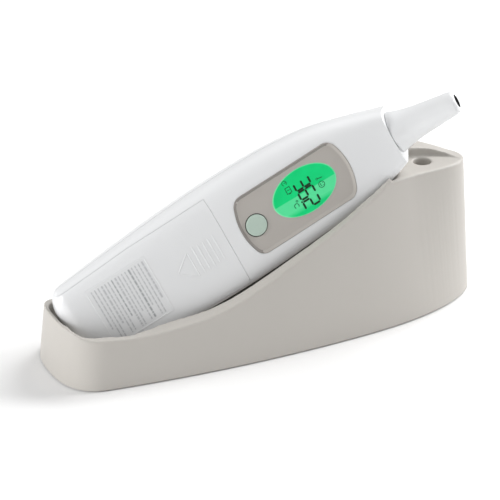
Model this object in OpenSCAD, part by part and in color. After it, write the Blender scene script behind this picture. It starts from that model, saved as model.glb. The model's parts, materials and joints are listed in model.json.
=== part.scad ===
// Ear thermometer lying in its wedge-shaped desk base.
// All sizes in millimetres, +Z up, probe end towards +X, display towards -Y.

/* [Thermometer] */
// Widest half-width of the body
body_half = 17.6;     // [17.4:0.1:18.0]
// Depth from the face to the back
body_depth = 27.5;    // [26:0.5:28.5]
// Wall thickness of the housings
wall = 2.0;           // [1.6:0.1:2.2]
// Radius of the opening in the probe tip
tip_bore = 2.0;       // [1.6:0.1:2.2]
// Radius of the round button
button_r = 3.6;       // [3.3:0.1:3.8]
// Gap between button and panel
button_gap = 0.3;     // [0.3:0.05:0.4]

/* [Display] */
// Length of the window along the body
lens_long = 24.0;     // [22:0.5:25]
// Width of the window across the body
lens_wide = 15.4;     // [14:0.2:16]
// Half-width of the grey panel
panel_half = 10.6;    // [10:0.1:10.8]

/* [Base] */
// Length of the base
base_len = 157.5;     // [157:0.5:160]
// Width of the base
base_wide = 49.4;     // [49:0.2:51]
// Wall thickness of the base
base_wall = 1.8;      // [1.6:0.1:2.0]
// Radius of the hole in the flat end
peg_r = 3.0;          // [2.5:0.1:3.2]

/* [Hidden] */
$fn = 48;
tilt = 23.4;
roll = 72;
org = [9.5, -10.2, 51.65];
px = [cos(tilt), 0, sin(tilt)];
nx = [-sin(tilt) * cos(roll), -sin(roll), cos(tilt) * cos(roll)];
tx = [-sin(tilt) * sin(roll), cos(roll), cos(tilt) * sin(roll)];
tail = -90.2;
nose = 46;
seam_s = 33.5;
seam_n = 3.2;
probe_tilt = 30;
probe_at = [37.8, -1.1, -4.25];
probe_yaw = 2.2;
probe_len = 23.6;
front_e = 3.8;
low_e = 7.0;
back_e = 2.3;
part_n = -10;
seam = 0.3;
cover_s = -30.6;
foot_h = 0.5;

// ---- helpers -------------------------------------------------------------
function seg(k, x, i = 0) = (i >= len(k) - 2 || x < k[i + 1][0]) ? i : seg(k, x, i + 1);
function slope(k, i) = i <= 0 ? (k[1][1] - k[0][1]) / (k[1][0] - k[0][0])
  : i >= len(k) - 1 ? (k[i][1] - k[i - 1][1]) / (k[i][0] - k[i - 1][0])
  : (k[i + 1][1] - k[i - 1][1]) / (k[i + 1][0] - k[i - 1][0]);
function herm(k, x, i, u, h) =
  (2 * u * u * u - 3 * u * u + 1) * k[i][1] + (u * u * u - 2 * u * u + u) * h * slope(k, i)
  + (3 * u * u - 2 * u * u * u) * k[i + 1][1] + (u * u * u - u * u) * h * slope(k, i + 1);
function curve(k, x) = let (i = seg(k, x), h = k[i + 1][0] - k[i][0]) herm(k, x, i, (x - k[i][0]) / h, h);
function sg(x) = x < 0 ? -1 : 1;
function pw(x, e) = sg(x) * pow(abs(x), e);

// body profiles along its own axis
k_up = [[-91, 0.80], [-80, 0.84], [-70, 0.88], [-58, 0.925], [-44, 0.975], [-30, 1.0], [-18, 1.0],
  [-8, 0.985], [0, 0.955], [10, 0.885], [18, 0.79], [26, 0.66], [32, 0.56], [37, 0.465], [41, 0.40],
  [46, 0.34]];
k_low = [[-91, 0.80], [-80, 0.84], [-70, 0.885], [-58, 0.945], [-44, 1.01], [-30, 1.03], [-18, 1.02],
  [-8, 1.0], [0, 0.985], [10, 0.96], [18, 0.92], [26, 0.835], [32, 0.73], [37, 0.61], [41, 0.52],
  [46, 0.43]];
k_face = [[-91, -3.2], [-75, -1.7], [-60, -0.8], [-40, -0.15], [-20, 0], [10, 0], [20, 0.15],
  [30, 1.3], [38, 3.2], [46, 5.0]];
k_back = [[-91, 0.72], [-75, 0.85], [-58, 0.955], [-35, 1.0], [-8, 1.0], [8, 0.955], [20, 0.835],
  [29, 0.68], [38, 0.52], [46, 0.40]];
function endm(s, r, q) = s >= tail + r ? 1 : pow(max(0, 1 - pow(min(1, (tail + r - s) / r), q)), 1 / q);
function half(s, k) = body_half * curve(k, s) * endm(s, 7, 3.0);
function face(s) = part_n + (curve(k_face, s) - part_n) * endm(s, 5, 2.2);
function back(s) = part_n - (part_n + body_depth * curve(k_back, s)) * endm(s, 9, 2.0);
stations = concat([for (i = [0 : 6]) tail + 0.02 + 9 * (1 - cos(i * 15))],
  [for (i = [1 : 20]) -80 + (nose + 80) * i / 20]);

// one ring of the body at s, grown by g (negative for the inner skin)
// the lower edge of the face is crisper than the upper one
function edge_e(a) = cos(a) >= 0 ? front_e : low_e;
function ringpt(s, a, g) = let (f = sin(a) >= 0) [
  s,
  (half(s, cos(a) >= 0 ? k_up : k_low) + g) * pw(cos(a), 2 / (f ? edge_e(a) : 2.9)),
  f ? part_n + (face(s) - part_n + g) * pw(sin(a), 2 / edge_e(a))
    : part_n + (part_n - back(s) + g) * pw(sin(a), 2 / back_e)
];
ring_n = 36;
module loft(rings) {
  m = len(rings[0]);
  k = len(rings);
  polyhedron(points = [for (r = rings) for (q = r) q],
    faces = concat(
      [[for (j = [m - 1 : -1 : 0]) j]],
      [for (i = [0 : k - 2]) for (j = [0 : m - 1]) [i * m + j, i * m + (j + 1) % m, (i + 1) * m + j]],
      [for (i = [0 : k - 2]) for (j = [0 : m - 1]) [i * m + (j + 1) % m, (i + 1) * m + (j + 1) % m,
          (i + 1) * m + j]],
      [[for (j = [0 : m - 1]) (k - 1) * m + j]]), convexity = 8);
}
// everything beyond the slanted seam where the probe starts
module past_seam(d) {
  translate([seam_s, probe_at[1], seam_n]) rotate([0, -probe_tilt, probe_yaw]) translate([-d, -40,
      -60]) cube([80, 80, 120]);
}
module body_outer() {
  difference() {
    loft([for (s = stations) [for (j = [0 : ring_n - 1]) ringpt(s, -j * 360 / ring_n + 5, 0)]]);
    past_seam(0);
  }
}
inner_st = [for (i = [0 : 14]) -86.5 + (nose - 1.2 + 86.5) * i / 14];
module body_inner() {
  difference() {
    loft([for (s = inner_st) [for (j = [0 : 23]) ringpt(s, -j * 15 + 7.5, -wall)]]);
    past_seam(1.6);
  }
  paxis() translate([0, 0, -4]) cylinder(r = 6.2, h = 8);
}
module th() {
  multmatrix([[px[0], tx[0], nx[0], org[0]], [px[1], tx[1], nx[1], org[1]], [px[2], tx[2], nx[2],
      org[2]]]) children();
}
module rbox(a, b) {
  translate(a) cube(b - a);
}

// ---- base outline --------------------------------------------------------
function side_b(v) = let (x = -base_len / 2 + v * base_len, q = x + 5.75)
  (1 - 0.161 * pow(q / 60, 2)) * (x < -65.75 ? pow(max(0, 1 - pow(min(1, (-65.75 - x) / 13), 2.6)),
      1 / 2.6) : 1)
  * (x > 16.25 ? pow(max(0, 1 - pow(min(1, (x - 16.25) / 62.5), 3.6)), 1 / 2.2) : 1);
function xl(z) = -base_len / 2 + 0.09 * (z - foot_h);
function xr(z) = base_len / 2 - 0.135 * (z - foot_h);
// the high end leans a little towards the display side
function lean(x, z) = let (u = max(0, min(1, (x - 45) / 30))) -6 * z / 52 * u * u * (3 - 2 * u);
function vpar(i, n) = let (u = i / n) u < 0.3 ? 0.10 * (1 - cos(u / 0.3 * 90)) : u > 0.6
  ? 1 - 0.30 * (1 - sin((u - 0.6) / 0.4 * 90)) : 0.10 + 0.60 * (u - 0.3) / 0.3;
nb = 34;
function bring(z, g) = concat(
  [for (i = [0 : nb]) let (v = vpar(i, nb), x = xl(z) + g + v * (xr(z) - xl(z) - 2 * g))
    [x, -(base_wide / 2 - 0.109 * (z - foot_h) - g) * side_b(v) + lean(x, z), z]],
  [for (i = [nb - 1 : -1 : 1]) let (v = vpar(i, nb), x = xl(z) + g + v * (xr(z) - xl(z) - 2 * g))
    [x, (base_wide / 2 - 0.168 * (z - foot_h) - g) * side_b(v) + lean(x, z), z]]);
module base_solid(z0, z1, g) {
  m = 2 * nb;
  lo = bring(z0, g);
  hi = bring(z1, g);
  polyhedron(points = concat(lo, hi), faces = concat(
    [[for (j = [0 : m - 1]) j]],
    [for (j = [0 : m - 1]) [j, m + j, (j + 1) % m]],
    [for (j = [0 : m - 1]) [(j + 1) % m, m + j, m + (j + 1) % m]],
    [[for (j = [m - 1 : -1 : 0]) m + j]]), convexity = 6);
}
// height of the rim along the base
k_rim = [[-80, 22], [-76.3, 20.2], [-73, 18.5], [-70, 17.6], [-64.5, 17.3], [-56, 16.7], [-43, 17.5],
  [-28.6, 19.6], [-18, 23.1], [-7.6, 27.7], [2.9, 32.9], [11.5, 37.0], [17, 39.9], [25, 44.4],
  [33, 48.6], [37, 51.6], [40, 53.3], [46, 54.6], [55, 55.0], [61, 54.2], [66, 52.9], [70, 51.8],
  [80, 51.0]];
// inner face of the low wall behind the shelf
k_wall = [[38, 6], [50, 0.4], [54.4, -1.1], [59.9, -1.9], [63.5, -3.6], [68, -7.6], [72, -12.5],
  [80, -24]];
shelf_z = 51.6;
module above_rim(dz) {
  translate([0, 60, 0]) rotate([90, 0, 0]) linear_extrude(120)
    polygon(concat([for (i = [0 : 40]) [-80 + 160 * i / 40, curve(k_rim, -80 + 160 * i / 40) + dz]],
        [[80, 90], [-80, 90]]));
}

// space the thermometer is dropped into: its lower half, carried up along the lift
tail_gap = 1.1;
trough_st = [for (i = [0 : 5]) tail - tail_gap + 7.4 * (1 - cos(i * 15))];
// extra room beside the body, more in front of its tail and less in front of its nose
function side_room(q) = 1.5 * exp(-pow((q + 26) / 26, 2));
function ease(x) = let (u = max(0, min(1, x))) u * u * (3 - 2 * u);
function front_room(q) = 4.4 * (1 - ease((q + 78) / 20)) - 1.7 * ease((q - 8) / 16);
function tring(s, g, fr) = let (q = max(s + tail_gap, tail + 0.03), w = half(q, k_low) + g + side_room(q),
    f = face(q) + fr + front_room(q), b = back(q < -36 ? q + 6 : q))
  concat([for (j = [0 : 18]) let (a = 90 + 10 * j, up = sin(a) >= 0) [s, -w * pw(-cos(a),
      2 / (up ? low_e : 2.9)),
      up ? part_n + (f - part_n) * pw(sin(a), 2 / low_e) : part_n + (part_n - b + g) * pw(sin(a),
          2 / back_e)]],
    [[s + 60 * 0.3806, 60 * 0.9248, b - g], [s + 60 * 0.3806, 60 * 0.9248, f]]);
trough_a = trough_st[5];
all_trough = concat(trough_st, [for (i = [1 : 20]) trough_a + (46 - trough_a) * i / 20]);
module trough(g, fr) {
  rings = [for (s = all_trough) tring(s, g, fr)];
  m = len(rings[0]);
  k = len(rings);
  z = (k - 1) * m;
  th() polyhedron(points = [for (r = rings) for (q = r) q],
    faces = concat(
      [[for (j = [0 : m - 3]) j], [m - 3, m - 2, m - 1, 0]],
      [for (i = [0 : k - 2]) for (j = [0 : m - 1]) [(i + 1) * m + j, i * m + (j + 1) % m, i * m + j]],
      [for (i = [0 : k - 2]) for (j = [0 : m - 1]) [(i + 1) * m + j, (i + 1) * m + (j + 1) % m,
          i * m + (j + 1) % m]],
      [[for (j = [m - 3 : -1 : 0]) z + j], [z, z + m - 1, z + m - 2, z + m - 3]]), convexity = 8);
}
peg_at = [56.5, -5.6];
module peg_hole(r, d) {
  translate([peg_at[0], peg_at[1], shelf_z - d]) cylinder(r = r, h = d + 10);
}

module base_shell() {
  color([0.80, 0.78, 0.75]) difference() {
    base_solid(foot_h, 58, 0);
    above_rim(0);
    // flat shelf at the high end, with a low wall left behind it
    translate([0, 0, shelf_z]) linear_extrude(20)
      polygon(concat([[80, -60], [38.6, -60]], [for (i = [0 : 30]) let (x = 38.6 + 41.4 * i / 30) [x,
          curve(k_wall, x)]]));
    intersection() {
      union() {
        trough(0.9, 2.6);
        th() rbox([tail - tail_gap, -2, -22], [tail + 12, 24, -2]);
      }
      translate([-0.3, 0, 0]) base_solid(0.95, 70, base_wall);
      linear_extrude(90)
        polygon([[-90, -19.4], [-62, -19.4], [-44, -17.2], [90, -17.2], [90, 60], [-90, 60]]);
    }
    // hollow underside
    difference() {
      intersection() {
        base_solid(-1, 56, base_wall + 0.4);
        translate([-44.3, -40, -2]) cube([140, 80, 70]);
      }
      trough(0.9 + base_wall, 2.6 + base_wall);
      translate([-60, -60, 12]) cube([100, 60 - 17.2 + base_wall, 50]);
      above_rim(-2.4);
      translate([36, -40, 49]) cube([60, 80, 20]);
      peg_hole(peg_r + 2, 12);
      for (q = screw_at) translate([q[0], q[1], 2.4]) cylinder(r = 3.2, h = 60);
    }
    peg_hole(peg_r, 10);
    for (q = screw_at) translate([q[0], q[1], -1]) cylinder(r = 1.3, h = 9.2);
    for (q = shell_feet) translate([q[0], q[1], -1]) cylinder(r = 4.2, h = 1.9);
  }
}
screw_at = [[-28, 16], [-28, -16], [62, 6], [62, -6]];
shell_feet = [[-68, -11], [-68, 11]];
plate_feet = [[46, -10], [46, 10]];

module base_plate() {
  color([0.42, 0.42, 0.42]) difference() {
    intersection() {
      base_solid(-1, 6, base_wall + 0.6);
      translate([-44.0, -40, foot_h + 0.1]) cube([140, 80, 1.6]);
    }
    for (q = screw_at) translate([q[0], q[1], -1]) cylinder(r = 1.5, h = 8);
    for (q = screw_at) translate([q[0], q[1], -1]) cylinder(r = 2.7, h = 2.35);
    for (q = plate_feet) translate([q[0], q[1], -1]) cylinder(r = 4.2, h = 1.9);
  }
}
module base_feet() {
  color([0.25, 0.25, 0.25]) for (q = concat(shell_feet, plate_feet)) translate([q[0], q[1], 0])
    cylinder(r = 4, h = 0.85);
}
module base_screws() {
  color([0.7, 0.7, 0.72]) for (q = screw_at) translate([q[0], q[1], 0]) {
    difference() {
      translate([0, 0, foot_h + 0.15]) cylinder(r = 2.4, h = 0.65);
      translate([-1.5, -0.3, 0]) cube([3, 0.6, 0.9]);
    }
    translate([0, 0, foot_h + 0.7]) cylinder(r = 1.2, h = 6.2);
  }
}

// ---- housings ------------------------------------------------------------
module cover_zone(g) {
  translate([0, 0, part_n + 2 + g]) linear_extrude(30)
    polygon([[cover_s - g, -17.0 + g], [cover_s - g, 15.4 - g], [-60, 14.9 - g],
      [-96, 12.6 - g], [-96, -12.6 + g], [-60, -15.5 + g]]);
}
panel_at = [-3.9, -0.6];
button_at = [-19.8, -1.2];
module panel_2d(g) {
  translate(panel_at) offset(r = 4 + g, $fn = 32) intersection() {
    square([60, 2 * panel_half - 8], center = true);
    circle(r = 17.5, $fn = 96);
  }
}
boss_at = [[18, 8.0], [18, -8.0], [-27, 12.2], [-27, -12.2]];
module front_housing() {
  color([0.93, 0.93, 0.94]) th() difference() {
    union() {
      difference() {
        intersection() {
          body_outer();
          translate([-120, -60, part_n + seam / 2]) cube([240, 120, 60]);
        }
        body_inner();
      }
      intersection() {
        body_outer();
        for (q = boss_at) translate([q[0], q[1], -16]) cylinder(r = 2.6, h = 14.6);
      }
      intersection() {
        body_outer();
        difference() {
          translate([-28, -13.6, -4.2]) cube([47, 26, 4.2]);
          translate([-25.4, -10.9, -6]) cube([42.2, 20.6, 4.6]);
        }
      }
    }
    cover_zone(0);
    translate([0, 0, -1.4]) linear_extrude(10) panel_2d(0.1);
    translate([-13.4, -9, -9]) cube([26.8, 18, 8]);
    translate([button_at[0], button_at[1], -9]) cylinder(r = button_r + 0.8, h = 10);
    for (q = boss_at) translate([q[0], q[1], -17]) cylinder(r = 0.95, h = 12);
  }
}
module rear_housing() {
  color([0.90, 0.90, 0.91]) th() difference() {
    union() {
      difference() {
        intersection() {
          body_outer();
          translate([-120, -60, part_n - seam / 2 - 60]) cube([240, 120, 60]);
        }
        body_inner();
      }
      intersection() {
        body_outer();
        for (q = boss_at) translate([q[0], q[1], -40]) cylinder(r = 4.0, h = 23.8);
      }
    }
    for (q = boss_at) translate([q[0], q[1], -40]) cylinder(r = 1.35, h = 40);
    for (q = boss_at) translate([q[0], q[1], -50]) cylinder(r = 2.5, h = 31.5);
  }
}
module battery_cover() {
  color([0.95, 0.95, 0.96]) th() difference() {
    intersection() {
      difference() {
        body_outer();
        body_inner();
      }
      cover_zone(seam);
    }
    // raised grip lines are left between shallow grooves
    for (i = [0 : 4]) translate([-42.2 + 1.95 * i, -5.4, -0.5]) cube([0.7, 9.8, 3]);
    translate([0, 0, -0.75]) linear_extrude(3) polygon([[-44.4, -5.6], [-44.4, 3.8], [-50.3, -0.9]]);
  }
}
module display_panel() {
  color([0.64, 0.62, 0.60]) th() difference() {
    translate([0, 0, -1.35]) linear_extrude(1.65) panel_2d(0);
    translate([0, 0, -0.75]) linear_extrude(3) scale([lens_long / 2 + 0.08,
        lens_wide / 2 + 0.08]) circle(r = 1, $fn = 64);
    translate([0, 0, -3]) linear_extrude(6) scale([lens_long / 2 - 0.8,
        lens_wide / 2 - 0.8]) circle(r = 1, $fn = 64);
    translate([button_at[0], button_at[1], -3]) cylinder(r = button_r + button_gap, h = 6);
  }
}
module display_lens() {
  color([0.1, 0.75, 0.45, 0.6]) th() translate([0, 0, -0.7]) linear_extrude(0.8) scale([lens_long / 2,
      lens_wide / 2]) circle(r = 1, $fn = 64);
}
module lcd_glass() {
  color([0.35, 0.6, 0.45]) th() rbox([-13, -8.6, -4.0], [13, 8.6, -2.2]);
}
module backlight() {
  color([0.2, 0.9, 0.5]) th() rbox([-12.6, -8.2, -5.6], [12.6, 8.2, -4.1]);
}
module button_cap() {
  color([0.66, 0.76, 0.70]) th() translate([button_at[0], button_at[1], 0]) {
    translate([0, 0, -1.2]) cylinder(r = button_r, h = 1.7);
    translate([0, 0, -3.8]) cylinder(r = 1.4, h = 2.8);
  }
}
module button_switch() {
  color([0.2, 0.2, 0.2]) th() translate([button_at[0], button_at[1], 0]) {
    rbox([-2.6, -2.6, -6.4], [2.6, 2.6, -4.9]);
    translate([0, 0, -5]) cylinder(r = 1.3, h = 0.4);
  }
}
module main_board() {
  color([0.1, 0.45, 0.25]) th() difference() {
    translate([-24, -10.8, -7.4]) cube([44, 21.6, 0.95]);
    for (side = [-1, 1]) translate([15, side * 8.1 - 3, -9]) cube([6, 6, 4]);
  }
}
module processor() {
  color([0.12, 0.12, 0.13]) th() rbox([-12, -4.5, -8.7], [-3, 4.5, -7.45]);
}
module buzzer() {
  color([0.15, 0.15, 0.15]) th() translate([8, 0, -10.6]) difference() {
    cylinder(r = 5.5, h = 3.1);
    translate([0, 0, -1]) cylinder(r = 0.9, h = 2);
  }
}
// probe: a waisted cone on its own slanted axis
module paxis() {
  translate(probe_at) rotate([0, 90 - probe_tilt, probe_yaw]) children();
}
k_probe = [[7.4, 0.05], [7.2, 0.9], [6.8, 2.2], [6.3, 4], [5.75, 6.5], [5.25, 10], [4.85, 14],
  [4.45, 18], [4.15, 21.5], [3.8, 22.8], [3.0, probe_len]];
k_inside = [[6.3, -1], [5.2, 2.2], [4.7, 5], [4.1, 8], [3.6, 12], [3.1, 17], [tip_bore + 0.35, 20]];
module probe_cone() {
  color([0.92, 0.92, 0.93]) th() paxis() rotate_extrude($fn = 72)
    polygon(concat(k_probe, [[tip_bore + 0.35, probe_len]], [for (i = [6 : -1 : 1]) k_inside[i]],
        [[6.2, 0.05]]));
}
module tip_window() {
  color([0.2, 0.2, 0.22]) th() paxis() translate([0, 0, probe_len - 1.6]) cylinder(r = tip_bore + 0.3,
      h = 0.5);
}
module wave_guide() {
  color([0.85, 0.7, 0.3]) th() paxis() translate([0, 0, probe_len - 13.6]) difference() {
    cylinder(r = tip_bore + 0.15, h = 11.9);
    translate([0, 0, -1]) cylinder(r = tip_bore - 0.4, h = 15);
  }
}
module sensor_sleeve() {
  color([0.7, 0.7, 0.72]) th() paxis() translate([0, 0, probe_len - 19.6]) difference() {
    cylinder(r = 3.5, h = 5.9);
    translate([0, 0, -1]) cylinder(r = 2.75, h = 5.6);
    cylinder(r = 1.6, h = 9);
  }
}
module thermopile() {
  color([0.8, 0.8, 0.6]) th() paxis() translate([0, 0, probe_len - 19.4]) {
    translate([0, 0, 0.9]) cylinder(r = 2.1, h = 3);
    cylinder(r = 2.65, h = 1);
  }
}
module battery_tray() {
  color([0.85, 0.85, 0.86]) th() difference() {
    for (y = [-5.4, 5.4]) translate([-80.1, y, -10.6]) rotate([0, 90, 0]) cylinder(r = 5.8, h = 48.5);
    for (y = [-5.4, 5.4]) translate([-79.6, y, -10.6]) rotate([0, 90, 0]) cylinder(r = 5.35, h = 47);
    rbox([-90, -20, -11], [-20, 20, 0]);
  }
}
module battery_cells() {
  color([0.25, 0.35, 0.45]) th() for (y = [-5.4, 5.4]) translate([-77.5, y, -10.6]) rotate([0, 90, 0]) {
    cylinder(r = 5.2, h = 43.2);
    translate([0, 0, 43]) cylinder(r = 1.9, h = 1.1);
  }
}
module battery_springs() {
  color([0.8, 0.8, 0.8]) th() for (y = [-5.4, 5.4]) translate([-77.85, y, -10.6]) rotate([0, 90, 0])
    for (i = [0 : 2]) translate([0, 0, -0.45 * i]) rotate_extrude($fn = 24) translate([1.6 + 0.35 * i,
        0]) circle(r = 0.24, $fn = 16);
}
module battery_contacts() {
  color([0.8, 0.8, 0.8]) th() for (y = [-5.4, 5.4]) {
    rbox([-33.1, y - 3.6, -14.4], [-32.7, y + 3.6, -7.6]);
    rbox([-79.5, y - 3.6, -14.4], [-79.15, y + 3.6, -7.6]);
  }
}
module housing_screws() {
  color([0.6, 0.6, 0.62]) th() for (q = boss_at) translate([q[0], q[1], 0]) {
    translate([0, 0, -19.9]) cylinder(r = 2.1, h = 1.4);
    translate([0, 0, -19]) cylinder(r = 0.95, h = 12);
  }
}

base_shell();
base_plate();
base_feet();
base_screws();
front_housing();
rear_housing();
battery_cover();
display_panel();
display_lens();
lcd_glass();
backlight();
button_cap();
button_switch();
main_board();
processor();
buzzer();
probe_cone();
tip_window();
wave_guide();
sensor_sleeve();
thermopile();
battery_tray();
battery_cells();
battery_springs();
battery_contacts();
housing_screws();
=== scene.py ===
"""Ear thermometer in its desk base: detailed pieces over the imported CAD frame, in metres."""

import json
import math

import bmesh
import bpy
import numpy as np
from mathutils import Matrix, Vector


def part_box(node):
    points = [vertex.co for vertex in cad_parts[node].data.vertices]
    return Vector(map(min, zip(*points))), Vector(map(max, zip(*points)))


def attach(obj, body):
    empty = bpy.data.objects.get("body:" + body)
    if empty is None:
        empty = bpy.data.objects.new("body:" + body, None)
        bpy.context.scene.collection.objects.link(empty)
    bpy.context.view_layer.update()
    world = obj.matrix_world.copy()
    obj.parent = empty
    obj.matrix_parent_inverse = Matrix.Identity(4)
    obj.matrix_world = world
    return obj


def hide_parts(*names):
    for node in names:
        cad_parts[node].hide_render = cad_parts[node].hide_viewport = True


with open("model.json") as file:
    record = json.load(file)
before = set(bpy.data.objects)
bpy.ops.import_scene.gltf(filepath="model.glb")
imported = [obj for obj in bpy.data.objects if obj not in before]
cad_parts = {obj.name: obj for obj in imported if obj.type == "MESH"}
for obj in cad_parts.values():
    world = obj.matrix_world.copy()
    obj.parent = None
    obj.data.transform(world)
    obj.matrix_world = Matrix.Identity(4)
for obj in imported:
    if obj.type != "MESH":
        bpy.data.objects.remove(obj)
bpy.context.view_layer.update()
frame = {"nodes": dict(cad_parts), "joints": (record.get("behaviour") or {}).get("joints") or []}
MM = 0.001
joints = {j["name"]: j for j in frame["joints"]}


# ---- the thermometer's own axes, from the joints and the window's box ----------
def centre(node):
    lo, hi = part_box(node)
    return (Vector(lo) + Vector(hi)) / 2


PX = -Vector(joints["cover_release"]["axis"]).normalized()
NX = -Vector(joints["power_button"]["axis"]).normalized()
TX = NX.cross(PX).normalized()
LENS_MID = -0.3
ORG = centre("display_lens") - NX * LENS_MID * MM
TH = Matrix.Translation(ORG) @ Matrix((PX, TX, NX)).transposed().to_4x4() @ Matrix.Scale(MM, 4)
BASE = Matrix.Scale(MM, 4)


# ---- profiles, as in the CAD ----------------------------------------------------
# s runs along the body, t across it and n out of its face; each list pairs a place with a value there.
# Half-width of the body above and below its middle line, as a share of BODY_HALF
K_UP = [(-91, 0.80), (-80, 0.84), (-70, 0.88), (-58, 0.925), (-44, 0.975), (-30, 1.0), (-18, 1.0),
        (-8, 0.985), (0, 0.955), (10, 0.885), (18, 0.79), (26, 0.66), (32, 0.56), (37, 0.465), (41, 0.40),
        (46, 0.34)]
K_LOW = [(-91, 0.80), (-80, 0.84), (-70, 0.885), (-58, 0.945), (-44, 1.01), (-30, 1.03), (-18, 1.02),
         (-8, 1.0), (0, 0.985), (10, 0.96), (18, 0.92), (26, 0.835), (32, 0.73), (37, 0.61), (41, 0.52),
         (46, 0.43)]
# Height n of the face, and depth of the back as a share of BODY_DEPTH
K_FACE = [(-91, -3.2), (-75, -1.7), (-60, -0.8), (-40, -0.15), (-20, 0), (10, 0), (20, 0.15), (30, 1.3),
          (38, 3.2), (46, 5.0)]
K_BACK = [(-91, 0.72), (-75, 0.85), (-58, 0.955), (-35, 1.0), (-8, 1.0), (8, 0.955), (20, 0.835), (29, 0.68),
          (38, 0.52), (46, 0.40)]
# Height of the base's rim, and the inner face of the low wall behind the shelf, both along x. Part of the
# numbers in these two lists came from a program that put outline points back onto the model.
K_RIM = [(-80, 22), (-76.3, 20.2), (-73, 18.5), (-70, 17.6), (-64.5, 17.3), (-56, 16.7), (-43, 17.5),
         (-28.6, 19.6), (-18, 23.1), (-7.6, 27.7), (2.9, 32.9), (11.5, 37.0), (17, 39.9), (25, 44.4),
         (33, 48.6), (37, 51.6), (40, 53.3), (46, 54.6), (55, 55.0), (61, 54.2), (66, 52.9), (70, 51.8),
         (80, 51.0)]
K_WALL = [(38, 6), (50, 0.4), (54.4, -1.1), (59.9, -1.9), (63.5, -3.6), (68, -7.6), (72, -12.5), (80, -24)]
# PART_N is where the two housings meet; the E values are how square the body's edges are
BODY_HALF, BODY_DEPTH, WALL, PART_N = 17.6, 27.5, 2.0, -10.0
FRONT_E, LOW_E, SIDE_E, BACK_E = 3.8, 7.0, 2.9, 2.3
TAIL, NOSE, COVER_S, SEAM = -90.2, 46.0, -30.6, 0.3
PROBE_TILT, PROBE_YAW, PROBE_LEN, TIP_BORE = 30.0, 2.2, 23.6, 2.0
PROBE_AT = (37.8, -1.1, -4.25)
SEAM_AT = (33.5, -1.1, 3.2)
PEG_AT = (56.5, -5.6)
BUTTON = (-19.8, -1.2)
BUTTON_R, BUTTON_HOLE = 3.6, 3.9
LENS_A, LENS_B = 12.0, 7.7
FOOT_H, SHELF = 0.5, 51.6


def curve(k, x):
    """Hermite curve through the points of k, with finite-difference slopes."""
    k = np.array(k, float)
    x = np.asarray(x, float)
    m = np.empty(len(k))
    m[0] = (k[1, 1] - k[0, 1]) / (k[1, 0] - k[0, 0])
    m[-1] = (k[-1, 1] - k[-2, 1]) / (k[-1, 0] - k[-2, 0])
    m[1:-1] = (k[2:, 1] - k[:-2, 1]) / (k[2:, 0] - k[:-2, 0])
    i = np.clip(np.searchsorted(k[:, 0], x, side="right") - 1, 0, len(k) - 2)
    h = k[i + 1, 0] - k[i, 0]
    u = (x - k[i, 0]) / h
    return ((2 * u**3 - 3 * u**2 + 1) * k[i, 1] + (u**3 - 2 * u**2 + u) * h * m[i]
            + (3 * u**2 - 2 * u**3) * k[i + 1, 1] + (u**3 - u**2) * h * m[i + 1])


def power(x, e):
    """Power of the size of x, with its sign kept."""
    return np.sign(x) * np.abs(x) ** e


def endm(s, r, q):
    """Rounding of the tail: 0 at its end, 1 from r inwards."""
    return np.maximum(0, 1 - np.clip((TAIL + r - s) / r, 0, 1) ** q) ** (1 / q)


def half(s, k):
    """Half-width of the body at s, by the profile k."""
    return BODY_HALF * curve(k, s) * endm(s, 7, 3.0)


def face(s):
    """Height of the face at s, on the middle line."""
    return PART_N + (curve(K_FACE, s) - PART_N) * endm(s, 5, 2.2)


def back(s):
    """Height of the back at s, on the middle line."""
    return PART_N - (PART_N + BODY_DEPTH * curve(K_BACK, s)) * endm(s, 9, 2.0)


def on_face(s, t):
    """Height of the front skin at (s, t)."""
    w, e = (half(s, K_UP), FRONT_E) if t >= 0 else (half(s, K_LOW), LOW_E)
    return PART_N + (face(s) - PART_N) * np.maximum(1e-4, 1 - np.abs(t / w) ** e) ** (1 / e)


# ---- mesh helpers ---------------------------------------------------------------
def new_object(name, verts, faces, matrix=None):
    """A mesh object from points and faces, moved by the matrix if there is one."""
    mesh = bpy.data.meshes.new(name)
    mesh.from_pydata([tuple(v) for v in verts], [], [tuple(f) for f in faces])
    if matrix is not None:
        mesh.transform(matrix)
    mesh.validate()
    mesh.update()
    obj = bpy.data.objects.new(name, mesh)
    bpy.context.collection.objects.link(obj)
    return obj


def grid_faces(n, m):
    """Four-sided faces between n closed rings of m points each."""
    out = []
    for i in range(n - 1):
        for j in range(m):
            a, b = i * m + j, i * m + (j + 1) % m
            out.append((a, b, b + m, a + m))
    return out


def loft(name, rings, matrix):
    """Closed solid through a row of rings, with flat ends."""
    rings = np.asarray(rings, float)
    n, m, _ = rings.shape
    faces = grid_faces(n, m)
    faces.append(tuple(range(m - 1, -1, -1)))
    faces.append(tuple((n - 1) * m + j for j in range(m)))
    obj = new_object(name, rings.reshape(-1, 3), faces, matrix)
    outward(obj)
    return obj


def outward(obj):
    """Make the faces of a closed mesh point outwards."""
    bm = bmesh.new()
    bm.from_mesh(obj.data)
    bmesh.ops.recalc_face_normals(bm, faces=bm.faces)
    if bm.calc_volume(signed=True) < 0:
        bmesh.ops.reverse_faces(bm, faces=bm.faces)
    bm.to_mesh(obj.data)
    bm.free()


def solid_box(a, b, matrix):
    """Box between its lowest corner a and its highest corner b."""
    v = [(x, y, z) for x in (a[0], b[0]) for y in (a[1], b[1]) for z in (a[2], b[2])]
    f = [(0, 1, 3, 2), (4, 6, 7, 5), (0, 4, 5, 1), (2, 3, 7, 6), (0, 2, 6, 4), (1, 5, 7, 3)]
    obj = new_object("cut", v, f, matrix)
    outward(obj)
    return obj


def prism(points, z0, z1, matrix):
    """Upright prism over a 2-D outline."""
    return loft("cut", [[(x, y, z) for x, y in points] for z in (z0, z1)], matrix)


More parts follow.
